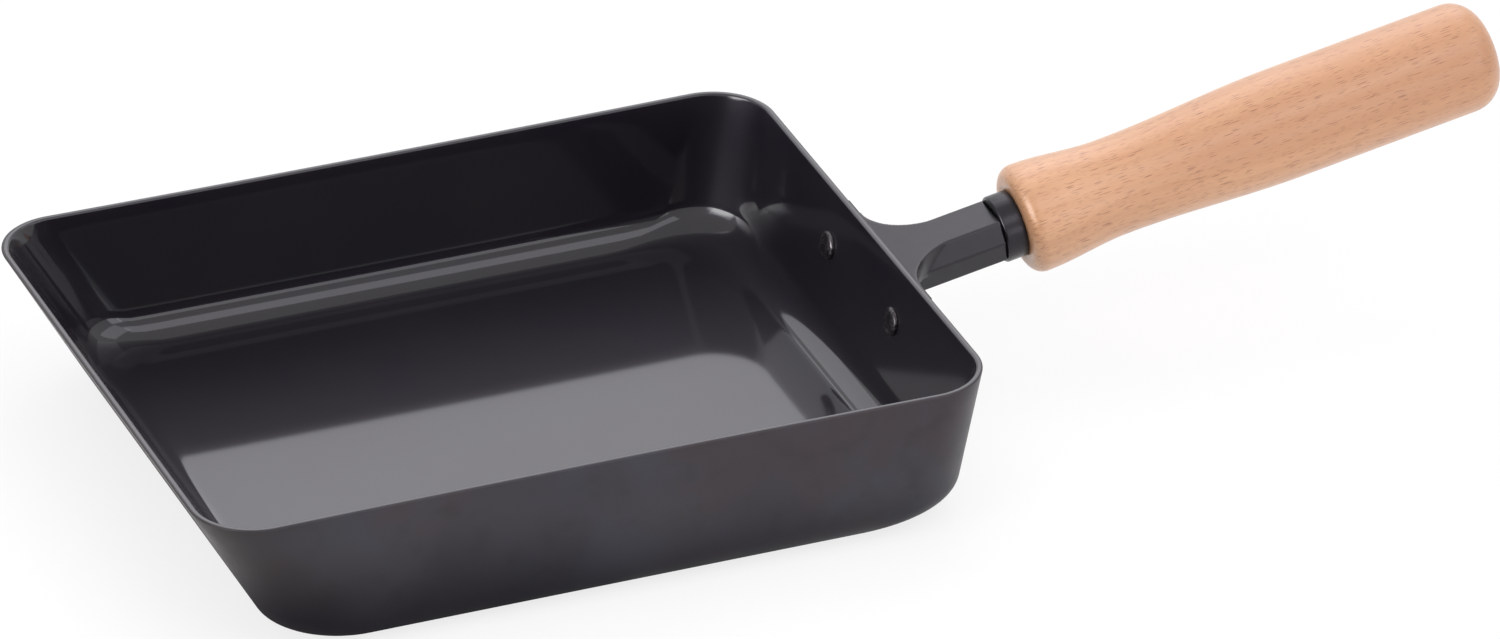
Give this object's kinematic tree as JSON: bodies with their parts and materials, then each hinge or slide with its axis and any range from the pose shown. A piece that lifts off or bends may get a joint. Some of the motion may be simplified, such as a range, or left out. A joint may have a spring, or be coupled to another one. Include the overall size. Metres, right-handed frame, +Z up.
{
  "type": "tamagoyaki pan",
  "caption": "Oblong rolled-omelette pan of dark pressed steel with a sloping toe wall, a riveted flared bracket and a turned wooden grip.",
  "frame": {"origin": "on the surface that the pan stands on, under the middle of the rim's length and width; it lies on the flat underside", "axes": "+X from the sloping toe wall towards the handle, Y across the pan, +Z up"},
  "size_m": [0.363, 0.162, 0.0686],
  "materials": {
    "pan_steel": "satin blue-black heat oxide on pressed sheet steel",
    "rivet_steel": "dark heat oxide, burnished crowns",
    "bracket_steel": "matt grey-black coating",
    "collar_resin": "satin black heat-proof resin",
    "beech": "clear satin lacquer on steamed beech",
    "bolt_steel": "turned stainless steel"
  },
  "bodies": {
    "root": {"pan_body": "pan_steel", "rivets": "rivet_steel", "handle_bracket": "bracket_steel", "collar": "collar_resin", "handle_grip": "beech", "handle_bolt": "bolt_steel", "bolt_washer": "bolt_steel"}
  },
  "joints": []
}
